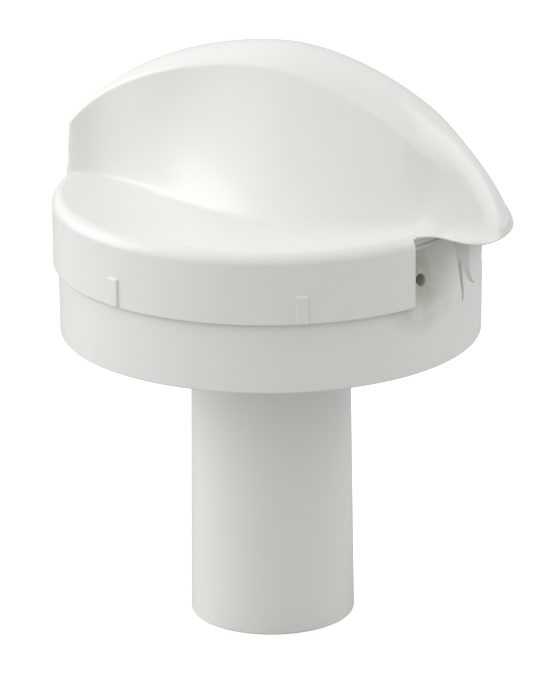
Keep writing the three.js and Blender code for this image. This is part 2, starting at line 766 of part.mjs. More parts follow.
const valve = new THREE.Group();
valve.name = "valve";
plug.add(valve);
addPart(valve, "valve_poppet", valvePoppet(), innerPlastic);
addPart(valve, "poppet_seal", poppetSeal(), sealRubber);

const cap = new THREE.Group();
cap.name = "cap";
plug.add(cap);
addPart(cap, "cap_shell", capShell(), whitePlastic);
addPart(cap, "lip_gasket", lipGasket(), sealRubber);
addPart(cap, "cap_liner", capLiner(), innerPlastic);
LINER_SCREW_ANGLES.forEach((angle, i) => {
  const screw = addPart(cap, `liner_screw_${i + 1}`, panScrew(1.1, 2.8, 1.8, 6), steel);
  screw.rotation.x = Math.PI;
  screw.position.set(LINER_BOSS_PITCH * Math.cos(angle), LINER_BOSS_PITCH * Math.sin(angle), LINER_BOTTOM - REST);
});

export default group;
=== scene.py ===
"""Looks of a vented deck fill cap: a turning cap with a swept grip fin on a fixed cup with a hose tail.

Shapes are worked out in millimetres: +Z up along the turning axis, z = 0 at the cup's underside,
and +X along the fin towards its beak. Meshes are written in metres in the part's own frame, whose
origin is at another height: the cup's underside is at DECK_Z there.
"""

import json
import math

import bmesh
import bpy
import numpy as np
from mathutils import Matrix, Vector

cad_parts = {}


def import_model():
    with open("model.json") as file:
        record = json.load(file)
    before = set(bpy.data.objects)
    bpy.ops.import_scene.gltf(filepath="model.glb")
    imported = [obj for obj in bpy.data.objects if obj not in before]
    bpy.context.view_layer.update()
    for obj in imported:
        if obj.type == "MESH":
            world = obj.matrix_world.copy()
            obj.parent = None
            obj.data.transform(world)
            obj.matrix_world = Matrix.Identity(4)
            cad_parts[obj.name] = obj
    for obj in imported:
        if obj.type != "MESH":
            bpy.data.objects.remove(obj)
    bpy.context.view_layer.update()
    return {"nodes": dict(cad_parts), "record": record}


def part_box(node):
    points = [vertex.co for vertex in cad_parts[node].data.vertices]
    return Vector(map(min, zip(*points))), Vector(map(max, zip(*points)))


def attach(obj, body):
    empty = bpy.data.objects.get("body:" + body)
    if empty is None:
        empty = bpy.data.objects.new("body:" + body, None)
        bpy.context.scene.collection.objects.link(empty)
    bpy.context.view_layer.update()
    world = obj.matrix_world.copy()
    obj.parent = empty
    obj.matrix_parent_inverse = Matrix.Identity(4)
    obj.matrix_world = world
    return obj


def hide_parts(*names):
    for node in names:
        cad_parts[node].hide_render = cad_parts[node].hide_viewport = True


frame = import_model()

MM = 0.001


# ---------------------------------------------------------------- sizes from the frame


def node_size(node):
    """(lowest, highest) corner of a CAD node in millimetres."""
    low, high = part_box(node)
    return low / MM, high / MM


cap_low, cap_high = node_size("cap_shell")
cup_low, cup_high = node_size("base_cup")
tail_low, tail_high = node_size("hose_tail")

DECK_Z = cup_low.z  # height of the cup's underside in the part's frame
CAP_R = cap_high.y
CUP_R = cup_high.y
SEAM_Z = cap_low.z - DECK_Z
LIP_Z = cup_high.z - DECK_Z
TAIL_FOOT_Z = tail_low.z - DECK_Z
NECK_TOP = tail_high.z - DECK_Z
FLANGE_R = tail_high.y

SCALE = CAP_R / 50.5  # the sizes below are for a cap 101 mm across

# Cap
DISC_Z = 33.2 * SCALE
RIM_ROUND = 2.8 * SCALE
SKIRT_TOP = DISC_Z - RIM_ROUND
DISC_UNDER = 31.2 * SCALE
SHELL_WALL = 2.4 * SCALE
GAP = 0.25 * SCALE
LIP_R = 47.6 * SCALE
SKIRT_IN_TOP = LIP_R + 0.35 * SCALE
WEB_IN_R = 44.6 * SCALE
NOTCH_HALF = math.radians(30.7)
RIB_HALF = math.radians(1.7)
RIB_TOP = 23.4 * SCALE
RIB_PROUD = 0.5 * SCALE
RIB_ANGLES = [math.radians(a) for a in (63, 115.5, 180, -115.5, -63)]
LINER_TOP = 27.4 * SCALE
BOSS_PITCH_R = 30.5 * SCALE
BOSS_ANGLES = [math.radians(a) for a in (72, 108, -72, -108)]

# Cup
SHOULDER_Z = 15.0 * SCALE
WALL = 2.8 * SCALE
FLOOR_TOP = 4.0 * SCALE
SEAT_TOP = 9.0 * SCALE
SEAT_R = 31.0 * SCALE

# Tail
TAIL_R = 18.6 * SCALE
TAIL_FOOT_R = 19.35 * SCALE
BORE_R = 15.6 * SCALE
NECK_R = 19.4 * SCALE
FLANGE_TOP = 13.0 * SCALE
FLANGE_BOTTOM = 10.0 * SCALE
SCREW_PITCH_R = 25.5 * SCALE
SCREW_ANGLES = [math.radians(45 + 90 * k) for k in range(4)]


# ---------------------------------------------------------------- mesh tools


def to_object(name, bm):
    """Writes a bmesh in millimetres as an object in metres, with outward normals."""
    bmesh.ops.recalc_face_normals(bm, faces=bm.faces)
    bmesh.ops.scale(bm, vec=(MM, MM, MM), verts=bm.verts)
    mesh = bpy.data.meshes.new(name)
    bm.to_mesh(mesh)
    bm.free()
    obj = bpy.data.objects.new(name, mesh)
    bpy.context.scene.collection.objects.link(obj)
    return obj


def rounded(outline, steps=5):
    """Rounds the corners of a closed outline of (r, z, radius) points with arcs."""
    out = []
    count = len(outline)
    for i in range(count):
        here = np.array(outline[i][:2], float)
        radius = outline[i][2] if len(outline[i]) > 2 else 0.0
        if radius <= 0.0:
            out.append(tuple(here))
            continue
        before = np.array(outline[i - 1][:2], float) - here
        after = np.array(outline[(i + 1) % count][:2], float) - here
        u = before / np.linalg.norm(before)
        v = after / np.linalg.norm(after)
        half = 0.5 * math.acos(max(-1.0, min(1.0, float(u @ v))))
        reach = min(radius / math.tan(half), 0.49 * np.linalg.norm(before), 0.49 * np.linalg.norm(after))
        for k in range(steps + 1):
            t = k / steps
            point = here + u * reach * (1 - t) ** 2 + v * reach * t**2
            out.append(tuple(point))
    return out


def lathe(name, outline, segments=192):
    """Turns a closed (r, z) outline about Z. Points at r = 0 stay single."""
    bm = bmesh.new()
    rows = []
    for r, z in outline:
        if r < 1e-6:
            rows.append([bm.verts.new((0, 0, z))])
            continue
        turn = [2 * math.pi * k / segments for k in range(segments)]
        rows.append([bm.verts.new((r * math.cos(a), r * math.sin(a), z)) for a in turn])
    for i in range(len(rows)):
        join_rows(bm, rows[i], rows[(i + 1) % len(rows)])
    return to_object(name, bm)


def join_rows(bm, lower, upper):
    """Faces between two closed rows of the same length; either may be a single point."""
    count = max(len(lower), len(upper))
    if count == 1:
        return
    for k in range(count):
        n = (k + 1) % count
        corners = [lower[k % len(lower)], lower[n % len(lower)], upper[n % len(upper)], upper[k % len(upper)]]
        unique = list(dict.fromkeys(corners))
        if len(unique) > 2:
            bm.faces.new(unique)


def rod(name, radius, low, high, segments=48):
    return lathe(name, [(0, low), (radius, low), (radius, high), (0, high)], segments)


def place(obj, matrix):
    """Moves an object's vertices, in millimetres."""
    scale = Matrix.Scale(MM, 4)
    obj.data.transform(scale @ matrix @ scale.inverted())
    return obj


def at_angle(radius, angle, z=0.0):
    return Matrix.Translation((radius * math.cos(angle), radius * math.sin(angle), z))


def sector(name, inner, outer, low, high, start, end, pitch=math.radians(1)):
    """A block of a ring between two angles."""
    bm = bmesh.new()
    steps = max(2, math.ceil((end - start) / pitch))
    rows = []
    for k in range(steps + 1):
        a = start + (end - start) * k / steps
        corners = [(inner, low), (outer, low), (outer, high), (inner, high)]
        rows.append([bm.verts.new((r * math.cos(a), r * math.sin(a), z)) for r, z in corners])
    for first, second in zip(rows, rows[1:]):
        join_rows(bm, first, second)
    bm.faces.new(rows[0])
    bm.faces.new(rows[-1])
    return to_object(name, bm)


def combine(target, operation, *others):
    """Boolean of closed solids. The other objects are used up."""
    for other in others:
        modifier = target.modifiers.new("combine", "BOOLEAN")
        modifier.object = other
        modifier.operation = operation
        modifier.solver = "MANIFOLD"
        graph = bpy.context.evaluated_depsgraph_get()
        mesh = bpy.data.meshes.new_from_object(target.evaluated_get(graph))
        target.modifiers.clear()
        old = target.data
        target.data = mesh
        bpy.data.meshes.remove(old)
        bpy.data.objects.remove(other)
    return target


def bevel_edges(obj, width, angle=40, segments=3):
    """Rounds every edge sharper than the angle."""
    modifier = obj.modifiers.new("edges", "BEVEL")
    modifier.width = width * MM
    modifier.segments = segments
    modifier.limit_method = "ANGLE"
    modifier.angle_limit = math.radians(angle)
    modifier.use_clamp_overlap = True
    return obj


def settle(obj):
    """Moves a finished piece from deck heights to the part's frame."""
    return place(obj, Matrix.Translation((0, 0, DECK_Z)))


def shade(obj, angle=32):
    """Smooth shading with sharp creases."""
    mesh = obj.data
    bm = bmesh.new()
    bm.from_mesh(mesh)
    bmesh.ops.remove_doubles(bm, verts=bm.verts, dist=2e-7)
    limit = math.radians(angle)
    for face in bm.faces:
        face.smooth = True
    for edge in bm.edges:
        edge.smooth = edge.is_manifold and edge.calc_face_angle(0.0) < limit
    bm.to_mesh(mesh)
    bm.free()
    weighted = obj.modifiers.new("normals", "WEIGHTED_NORMAL")
    weighted.keep_sharp = True
    weighted.weight = 50
    return obj


# ---------------------------------------------------------------- the fin's surfaces

CREST_BASE = 25.0 * SCALE
CREST_RISE = 43.6 * SCALE
CREST_TOP_X = 3.3 * SCALE
HEEL_A, HEEL_N = 60.0 * SCALE, 1.97
BEAK_A, BEAK_N = 54.4 * SCALE, 1.7
HEEL_X = -49.4 * SCALE
BEAK_X = CREST_TOP_X + BEAK_A
HOOD_FROM, HOOD_TO = 44.5 * SCALE, 57.0 * SCALE
HOOD_Z, HOOD_DROP, HOOD_LIP = 32.4 * SCALE, 4.5 * SCALE, 0.82 * SCALE
TIP_HEIGHT = 3.0 * SCALE  # of the hood's edge where the crest runs out
LEAF_HEEL, LEAF_HALF, LEAF_POWER = 2.6 * SCALE, 25.4 * SCALE, 1.7
LEAF_FROM, LEAF_WIDEST_X = -44.0 * SCALE, 11.0 * SCALE
NOSE_X, NOSE_HALF = 44.2 * SCALE, 18.9 * SCALE
NOSE_A = BEAK_X - NOSE_X
FLARE_FROM, FLARE_WIDEST_X, FLARE_TO = 41.0 * SCALE, 43.3 * SCALE, 57.5 * SCALE
FLARE_REACH = 5.0 * SCALE
BAND_HEEL, BAND_SWELL, BAND_CLOSES = 2.4 * SCALE, 9.9 * SCALE, 44.0 * SCALE
DROP_HEEL, DROP_SWELL = 0.9 * SCALE, 4.6 * SCALE
BAND_NARROWS, BAND_NARROWED, BAND_NARROWING = 36.0 * SCALE, 50.0 * SCALE, 0.3
FACE_BELLY, FACE_RISE = 0.6, 0.22
FOLD_ROUND = 1.5 * SCALE
EDGE_ROUND = 0.7 * SCALE


def clamp(value, low, high):
    return max(low, min(high, value))


def smoothstep(value):
    t = clamp(value, 0.0, 1.0)
    return t * t * (3 - 2 * t)


def soft_min(a, b):
    """The smaller of two lengths, rounded off where they are nearly equal."""
    return (a**-6 + b**-6) ** (-1 / 6)


def crest_z(x):
    a, n = (HEEL_A, HEEL_N) if x < CREST_TOP_X else (BEAK_A, BEAK_N)
    t = min(1.0, abs(x - CREST_TOP_X) / a)
    return CREST_BASE + CREST_RISE * (1 - t**n) ** (1 / n)


def hood_z(x):
    s = clamp((x - HOOD_FROM) / (HOOD_TO - HOOD_FROM), 0, 1)
    return HOOD_Z - HOOD_DROP * math.sin(math.pi / 2 * s) ** 2


def base_half(x):
    """Half-width of the fin at the disc, and of the hood above its turned-out edge."""
    if x > NOSE_X:
        s = min(1.0, (x - NOSE_X) / NOSE_A)
        return NOSE_HALF * math.sqrt(1 - s * s)
    if x < LEAF_WIDEST_X:
        turn = clamp((x - LEAF_FROM) / (LEAF_WIDEST_X - LEAF_FROM), 0, 1)
        return LEAF_HEEL + (LEAF_HALF - LEAF_HEEL) * math.sin(turn * math.pi / 2) ** LEAF_POWER
    fall = clamp((x - LEAF_WIDEST_X) / (NOSE_X - LEAF_WIDEST_X), 0, 1)
    return NOSE_HALF + (LEAF_HALF - NOSE_HALF) * math.cos(fall * math.pi / 2) ** 1.5


def foot_flare(x):
    """How far the foot turns out: most at the notch's corners, fading towards the beak."""
    if x < FLARE_WIDEST_X:
        return FLARE_REACH * smoothstep((x - FLARE_FROM) / (FLARE_WIDEST_X - FLARE_FROM))
    return FLARE_REACH * max(0.0, (FLARE_TO - x) / (FLARE_TO - FLARE_WIDEST_X)) ** 2


def towards_tip(x):
    return clamp((x - BAND_CLOSES) / (BEAK_X - BAND_CLOSES), 0, 1)


def along(x):
    return clamp((x - HEEL_X) / (-2 * HEEL_X), 0, 1.2)


def band_half(x):
    narrowed = 1 - BAND_NARROWING * smoothstep((x - BAND_NARROWS) / (BAND_NARROWED - BAND_NARROWS))
    closing = (1 - towards_tip(x) ** 3) ** (1 / 3)
    return (BAND_HEEL + BAND_SWELL * min(1.0, along(x)) ** 0.4) * narrowed * closing


def band_drop(x):
    return (DROP_HEEL + DROP_SWELL * along(x)) * (1 - towards_tip(x) ** 2) ** 0.7


def blend_corner(corner, start, end, steps):
    """Points of a curve that leaves start, bends at corner and arrives at end."""
    t = np.linspace(0, 1, steps + 1)[:, None]
    return (1 - t) ** 2 * start + 2 * t * (1 - t) * corner + t**2 * end


def trimmed(points, cut_start, cut_end, count):
    """Evenly spaced points along a polyline, with a length cut off each end."""
    points = np.asarray(points)
    steps = np.linalg.norm(np.diff(points, axis=0), axis=1)
    length = np.concatenate([[0], np.cumsum(steps)])
    wanted = np.linspace(cut_start, length[-1] - cut_end, count)
    return np.stack([np.interp(wanted, length, points[:, i]) for i in (0, 1)], axis=1)


def outer_side(x):
    """One side of the fin's section at x: (y, z) from the crest down to the foot."""
    bottom = hood_z(x)
    crest = max(crest_z(x), bottom + TIP_HEIGHT)
    lip = HOOD_LIP * min(1.0, (crest - bottom) / (8 * SCALE))
    fold = np.array([max(0.5, base_half(x)), bottom + lip])
    heel = clamp((x - HEEL_X) / (1.6 * SCALE), 0, 1)
    heel_round = math.sqrt(1 - (1 - heel) ** 2) * 0.75 + 0.25
    half = soft_min(fold[0], band_half(x)) * heel_round
    edge = np.array([half, max(fold[1] + 0.2, crest - band_drop(x))])
    belly = np.array([half + FACE_BELLY * (fold[0] - half), fold[1] + FACE_RISE * (edge[1] - fold[1])])

    v = np.linspace(0, 1, 41)[:, None]
    crown = np.hstack([v * half, crest - (crest - edge[1]) * v**2])
    t = np.linspace(0, 1, 61)[:, None]
    face = (1 - t) ** 2 * edge + 2 * t * (1 - t) * belly + t**2 * fold
    face_height = float(np.linalg.norm(fold - edge))
    flare = foot_flare(x)
    edge_round = min(EDGE_ROUND, 0.3 * half, 0.3 * face_height)
    fold_round = min(FOLD_ROUND + 0.35 * flare, 0.35 * face_height)
    crown = trimmed(crown, 0, edge_round, 13)
    face = trimmed(face, edge_round, fold_round, 22)
    shoulder = blend_corner(edge, crown[-1], face[0], 6)

    # The foot turns from the flat disc to a hanging lip where it runs off the rim
    reach = math.hypot(x, fold[0] + FOLD_ROUND)
    hang = smoothstep((reach - 45.5 * SCALE) / (4 * SCALE))
    down = 0.6 * lip * hang
    out = max(min(FOLD_ROUND, fold_round) * (1 - 0.9 * hang), flare)
    end = fold + np.array([out, -down])
    foot = blend_corner(fold, face[-1], end, 10)
    toe = end + np.array([0.9 * SCALE * (1 - hang), -0.05 * SCALE])
    edge_low = np.array([toe[0], bottom + 0.15 * SCALE])
    under = np.array([toe[0] - 0.15 * SCALE, bottom])
    parts = [crown[:-1], shoulder, face[1:-1], foot, [toe, edge_low, under]]
    return np.vstack([np.vstack(p) for p in parts])


def inner_side(x):
    """The same for the hollow inside, one wall in, open at the foot."""
    bottom = hood_z(x)
    crest = max(crest_z(x) - SHELL_WALL, bottom + TIP_HEIGHT)
    lip = HOOD_LIP * min(1.0, (crest - bottom) / (8 * SCALE))
    fold = np.array([max(0.4, base_half(x) - SHELL_WALL * 1.15), bottom + lip])
    half = soft_min(fold[0], max(0.3, band_half(x) - SHELL_WALL * 0.6))
    edge = np.array([half, max(fold[1] + 0.2, crest - band_drop(x) * 0.6)])
    belly = np.array([half + FACE_BELLY * (fold[0] - half), fold[1] + FACE_RISE * (edge[1] - fold[1])])
    v = np.linspace(0, 1, 9)[:, None]
    crown = np.hstack([v * half, crest - (crest - edge[1]) * v**2])
    t = np.linspace(0, 1, 15)[1:, None]
    face = (1 - t) ** 2 * edge + 2 * t * (1 - t) * belly + t**2 * fold
    return np.vstack([crown, face, [[fold[0], bottom - 6 * SCALE]]])


def fin_stations(start, reach, straight, turning):
    """Places along the fin: even to the nose, then closing up towards its tip."""
    even = np.linspace(start, NOSE_X, straight, endpoint=False)
    nose = NOSE_X + reach * np.sin(np.linspace(0, math.radians(89), turning))
    return np.concatenate([even, nose])


def loft_fin(name, side, stations):
    """A closed solid through mirrored sections."""
    bm = bmesh.new()
    rows = []
    for x in stations:
        right = side(x)
        left = right[:0:-1] * np.array([-1.0, 1.0])
        ring = np.vstack([left, right])
        rows.append([bm.verts.new((x, y, z)) for y, z in ring])
    for first, second in zip(rows, rows[1:]):
        join_rows(bm, first, second)
    bm.faces.new(rows[0])
    bm.faces.new(rows[-1])
    return to_object(name, bm)


# ---------------------------------------------------------------- turning cap


def rim_arc(steps=14):
    centre_r = CAP_R - RIM_ROUND
    turn = [math.pi / 2 * k / steps for k in range(steps + 1)]
    return [(centre_r + RIM_ROUND * math.cos(a), SKIRT_TOP + RIM_ROUND * math.sin(a)) for a in turn]


def rib(angle):
    start, end = angle - RIB_HALF, angle + RIB_HALF
    block = sector("rib", CAP_R - 1, CAP_R + RIB_PROUD, SEAM_Z + 0.15, RIB_TOP, start, end)
    return bevel_edges(block, 0.35 * SCALE, 60, 3)


def cap_shell():
    skirt_foot = rounded([(0, SEAM_Z), (CAP_R, SEAM_Z, 0.35), (CAP_R, SKIRT_TOP)])[:-1]
    shell = lathe("cap_shell_visual", skirt_foot + rim_arc() + [(0, DISC_Z)], 256)
    combine(shell, "UNION", *[rib(a) for a in RIB_ANGLES])
    notch = sector("notch", CAP_R - 8, CAP_R + 4, SEAM_Z - 1, DISC_UNDER, -NOTCH_HALF, NOTCH_HALF)
    brim = sector("brim", SKIRT_IN_TOP, CAP_R + 4, DISC_UNDER - 1, HOOD_Z, -NOTCH_HALF, NOTCH_HALF)
    combine(shell, "DIFFERENCE", notch, brim)
    combine(shell, "UNION", loft_fin("fin", outer_side, fin_stations(HEEL_X, NOSE_A, 150, 70)))
    inside = lathe(
        "inside",
        [
            (0, SEAM_Z - 1),
            (CUP_R + GAP, SEAM_Z - 1),
            (CUP_R + GAP, SEAM_Z),
            (SKIRT_IN_TOP, DISC_UNDER),
            (0, DISC_UNDER),
        ],
        256,
    )
    combine(shell, "DIFFERENCE", inside)
    hollow = loft_fin("hollow", inner_side, fin_stations(-38 * SCALE, NOSE_A - SHELL_WALL, 50, 20))
    web = lathe(
        "web",
        [
            (WEB_IN_R, HOOD_Z - 7),
            (SKIRT_IN_TOP + 0.2, HOOD_Z - 7),
            (SKIRT_IN_TOP + 0.2, CREST_BASE + CREST_RISE),
            (WEB_IN_R, CREST_BASE + CREST_RISE),
        ],
        256,
    )
    combine(hollow, "DIFFERENCE", web)
    combine(shell, "DIFFERENCE", hollow)
    for angle in BOSS_ANGLES:
        boss = place(rod("boss", 3.2, LINER_TOP + 0.05, DISC_UNDER + 0.5), at_angle(BOSS_PITCH_R, angle))
        pilot = place(rod("pilot", 1.2, LINER_TOP - 1, DISC_UNDER + 0.6), at_angle(BOSS_PITCH_R, angle))
        combine(shell, "UNION", boss)
        combine(shell, "DIFFERENCE", pilot)
    shade(shell)
    return shell


# ---------------------------------------------------------------- fixed cup

POCKET_ANGLE = math.radians(-30)
POCKET_END = math.radians(-30.2)
POCKET_BACK = 45.5 * SCALE
POCKET_FOOT_Z, POCKET_FLAT_Z, POCKET_TOP_Z = 12.4 * SCALE, 27.5 * SCALE, 28.8 * SCALE
POCKET_SKIN, POCKET_REACH = 2.6 * SCALE, 17.0 * SCALE
PORT_ANGLE = math.radians(-24)
PORT_Z = 21.0 * SCALE
PORT_R = 1.4 * SCALE
DUCT_R = 4.8 * SCALE
DUCT_END_R = 36.5 * SCALE
SCREEN_R = 3.9 * SCALE
SCREEN_SEAT = 1.2 * SCALE
GROOVE_ANGLE = math.radians(-8)
GROOVE_TOP_HALF, GROOVE_FOOT_HALF = 1.6 * SCALE, 0.3 * SCALE
GROOVE_FOOT_Z, GROOVE_DEPTH = 13.0 * SCALE, 2.0 * SCALE
LUG_ANGLE = math.radians(1.5)
LUG_HALF_WIDTH = 5.7 * SCALE
LUG_FOOT = 8.8 * SCALE
LUG_FOOT_Z = 24.0 * SCALE
LUG_TOP_Z = 26.5 * SCALE
LUG_PROUD = 0.6 * SCALE
LUG_WIDTHS = (1.5, 0.65)  # times its half-width, 4 mm inside and 4 mm outside the wall


def radial_slab(name, outline, start, end, angle, widths=(1, 1)):
    """A flat outline of (sideways, up) points, solid between two distances from the axis."""
    bm = bmesh.new()
    rows = [[bm.verts.new((r, y * w, z)) for y, z in outline] for r, w in zip((start, end), widths)]
    join_rows(bm, rows[0], rows[1])
    bm.faces.new(rows[0])
    bm.faces.new(rows[1])
    return place(to_object(name, bm), Matrix.Rotation(angle, 4, "Z"))


def sideways_slab(name, profile, half_width, angle):
    """An upright profile of (distance from the axis, up) points, solid sideways."""
    bm = bmesh.new()
    rows = [[bm.verts.new((r, y, z)) for r, z in profile] for y in (-half_width, half_width)]
    join_rows(bm, rows[0], rows[1])
    bm.faces.new(rows[0])
    bm.faces.new(rows[1])
    return place(to_object(name, bm), Matrix.Rotation(angle, 4, "Z"))


def radial_rod(name, radius, start, end):
    turn = Matrix.Rotation(PORT_ANGLE, 4, "Z") @ Matrix.Translation((0, 0, PORT_Z))
    return place(rod(name, radius, start, end), turn @ Matrix.Rotation(math.pi / 2, 4, "Y"))


def ring_block(name, inner, outer, low, high):
    return lathe(name, [(inner, low), (outer, low), (outer, high), (inner, high)], 256)


def pocket():
    """A hollow with a flat back that curves out to the wall at its foot."""
    outside = CUP_R + 6 * SCALE
    back = []
    for t in np.linspace(0, 1, 25):
        depth = (CUP_R - POCKET_BACK) * (1 - (1 - t) ** 2)
        back.append((CUP_R - depth, POCKET_FOOT_Z + (POCKET_FLAT_Z - POCKET_FOOT_Z) * t))
    profile = back + [(POCKET_BACK, POCKET_TOP_Z), (outside, POCKET_TOP_Z), (outside, POCKET_FOOT_Z)]
    hollow = sideways_slab("pocket", profile, 24 * SCALE, POCKET_ANGLE)
    reach = sector("reach", CUP_R - 14, CUP_R + 8, POCKET_FOOT_Z - 1, POCKET_TOP_Z + 1, POCKET_END, 0)
    combine(hollow, "INTERSECT", reach)
    return hollow


def pocket_backing():
    front, rear = POCKET_BACK + 3 * SCALE, POCKET_BACK - POCKET_SKIN
    low, high = FLOOR_TOP - 1, LIP_Z - 0.1 * SCALE
    profile = [(rear, low), (front, low), (front, high), (rear, high)]
    slab = sideways_slab("backing", profile, POCKET_REACH, POCKET_ANGLE)
    combine(slab, "INTERSECT", ring_block("band", CUP_R - 14, CUP_R - 2 * SCALE, FLOOR_TOP - 2, LIP_Z))
    return slab


def drain_groove():
    outline = [
        (-GROOVE_FOOT_HALF, GROOVE_FOOT_Z),
        (GROOVE_FOOT_HALF, GROOVE_FOOT_Z),
        (GROOVE_TOP_HALF, POCKET_TOP_Z),
        (-GROOVE_TOP_HALF, POCKET_TOP_Z),
    ]
    return radial_slab("groove", outline, CUP_R - GROOVE_DEPTH, CUP_R + 3, GROOVE_ANGLE)


def stop_lug():
    """A low tab with sloping sides, an elliptical foot and softly rounded edges."""
    foot = [math.pi + math.pi * k / 32 for k in range(33)]
    outline = [(LUG_HALF_WIDTH, LUG_TOP_Z), (-LUG_HALF_WIDTH, LUG_TOP_Z)]
    outline += [(LUG_HALF_WIDTH * math.cos(a), LUG_FOOT_Z + LUG_FOOT * math.sin(a)) for a in foot]
    lug = radial_slab("lug", outline, CUP_R - 4 * SCALE, CUP_R + 4 * SCALE, LUG_ANGLE, LUG_WIDTHS)
    skin = lathe(
        "lug_skin",
        [
            (CUP_R - 2.6 * SCALE, LUG_FOOT_Z - LUG_FOOT - 1),
            (CUP_R + 0.2 * SCALE, LUG_FOOT_Z - LUG_FOOT - 1),
            (CUP_R + LUG_PROUD, LUG_FOOT_Z),
            (CUP_R + LUG_PROUD, LUG_TOP_Z + 1),
            (CUP_R - 2.6 * SCALE, LUG_TOP_Z + 1),
        ],
        256,
    )
    combine(lug, "INTERSECT", skin)
    return bevel_edges(lug, 0.5 * SCALE, 30, 4)


def base_cup():
    hole_r = TAIL_R + 0.15 * SCALE
    outline = rounded(
        [
            (hole_r, 0, 0.3),
            (39.8 * SCALE, 0, 0.2),
            (39.8 * SCALE, 1.5 * SCALE),
            (45.0 * SCALE, 1.5 * SCALE),
            (45.0 * SCALE, 0, 0.2),
            (CUP_R - 0.15 * SCALE, 0, 0.45),
            (CUP_R, SHOULDER_Z, 6),
            (LIP_R, LIP_Z, 0.6),
            (LIP_R - WALL, LIP_Z, 0.6),
            (CUP_R - WALL, SHOULDER_Z, 4),
            (CUP_R - WALL - 0.2 * SCALE, FLOOR_TOP, 1.5),
            (SEAT_R, FLOOR_TOP, 1.0),
            (SEAT_R, SEAT_TOP, 0.4),
            (hole_r, SEAT_TOP, 0.3),
        ]
    )
    cup = lathe("base_cup_visual", outline, 256)
    combine(cup, "UNION", pocket_backing(), radial_rod("duct", DUCT_R, DUCT_END_R, POCKET_BACK - 1))
    port = radial_rod("port", PORT_R, DUCT_END_R - 2, CUP_R + 2)
    screen_seat = radial_rod("screen_seat", SCREEN_R, DUCT_END_R - 2, DUCT_END_R + SCREEN_SEAT)
    combine(cup, "DIFFERENCE", pocket(), drain_groove(), port, screen_seat)
    combine(cup, "UNION", stop_lug())
    for angle in SCREW_ANGLES:
        pilot = rod("pilot", 1.35 * SCALE, 2.2 * SCALE, SEAT_TOP + 1)
        combine(cup, "DIFFERENCE", place(pilot, at_angle(SCREW_PITCH_R, angle)))
    for k in range(4):
        hole = rod("fixing", 2.4 * SCALE, -1, FLOOR_TOP + 1)
        combine(cup, "DIFFERENCE", place(hole, at_angle(36.5 * SCALE, math.pi / 2 * k)))
    return shade(cup)


def hose_tail():
    outline = rounded(
        [
            (BORE_R, TAIL_FOOT_Z, 0.5),
            (TAIL_FOOT_R, TAIL_FOOT_Z, 0.45),
            (TAIL_R, -1.0 * SCALE),
            (TAIL_R, FLANGE_BOTTOM, 0.3),
            (FLANGE_R, FLANGE_BOTTOM, 0.3),
            (FLANGE_R, FLANGE_TOP, 0.5),
            (NECK_R, FLANGE_TOP, 1.0),
            (NECK_R, NECK_TOP, 0.6),
            (BORE_R + 1.0 * SCALE, NECK_TOP, 0.3),
            (BORE_R, NECK_TOP - 1.5 * SCALE, 0.5),
        ]
    )
    tail = lathe("hose_tail_visual", outline, 192)
    for angle in SCREW_ANGLES:
        hole = rod("screw_hole", 1.9 * SCALE, FLANGE_BOTTOM - 1, FLANGE_TOP + 1)
        combine(tail, "DIFFERENCE", place(hole, at_angle(SCREW_PITCH_R, angle)))
    return shade(tail)


# ---------------------------------------------------------------- materials


def new_material(name):
    material = bpy.data.materials.new(name)
    material.use_nodes = True
    tree = material.node_tree
    tree.nodes.clear()
    out = tree.nodes.new("ShaderNodeOutputMaterial")
    shader = tree.nodes.new("ShaderNodeBsdfPrincipled")
    tree.links.new(shader.outputs["BSDF"], out.inputs["Surface"])
    return material, tree, shader


def noise(tree, scale, detail=2.0, roughness=0.5):
    """Noise in object space; scale is in ripples per metre."""
    place_node = tree.nodes.new("ShaderNodeTexCoord")
    node = tree.nodes.new("ShaderNodeTexNoise")
    node.inputs["Scale"].default_value = scale
    node.inputs["Detail"].default_value = detail
    node.inputs["Roughness"].default_value = roughness
    tree.links.new(place_node.outputs["Object"], node.inputs["Vector"])
    return node.outputs["Fac"]


def ramp(tree, value, low, high, from_pos=0.0, to_pos=1.0):
    """Maps a value onto a range of numbers or colours."""
    node = tree.nodes.new("ShaderNodeMapRange")
    node.inputs["From Min"].default_value = from_pos
    node.inputs["From Max"].default_value = to_pos
    node.inputs["To Min"].default_value = low
    node.inputs["To Max"].default_value = high
    tree.links.new(value, node.inputs["Value"])
    return node.outputs["Result"]


def mix_colour(tree, value, first, second):
    node = tree.nodes.new("ShaderNodeMix")
    node.data_type = "RGBA"
    node.inputs["A"].default_value = (*first, 1.0)
    node.inputs["B"].default_value = (*second, 1.0)
    tree.links.new(value, node.inputs["Factor"])
    return node.outputs["Result"]


def bump(tree, shader, height, strength, distance, edge_radius):
    """Bump over the rounded-edge normal."""
    edges = tree.nodes.new("ShaderNodeBevel")
    edges.samples = 6
    edges.inputs["Radius"].default_value = edge_radius
    node = tree.nodes.new("ShaderNodeBump")
    node.inputs["Strength"].default_value = strength
    node.inputs["Distance"].default_value = distance
    tree.links.new(height, node.inputs["Height"])
    tree.links.new(edges.outputs["Normal"], node.inputs["Normal"])
    tree.links.new(node.outputs["Normal"], shader.inputs["Normal"])


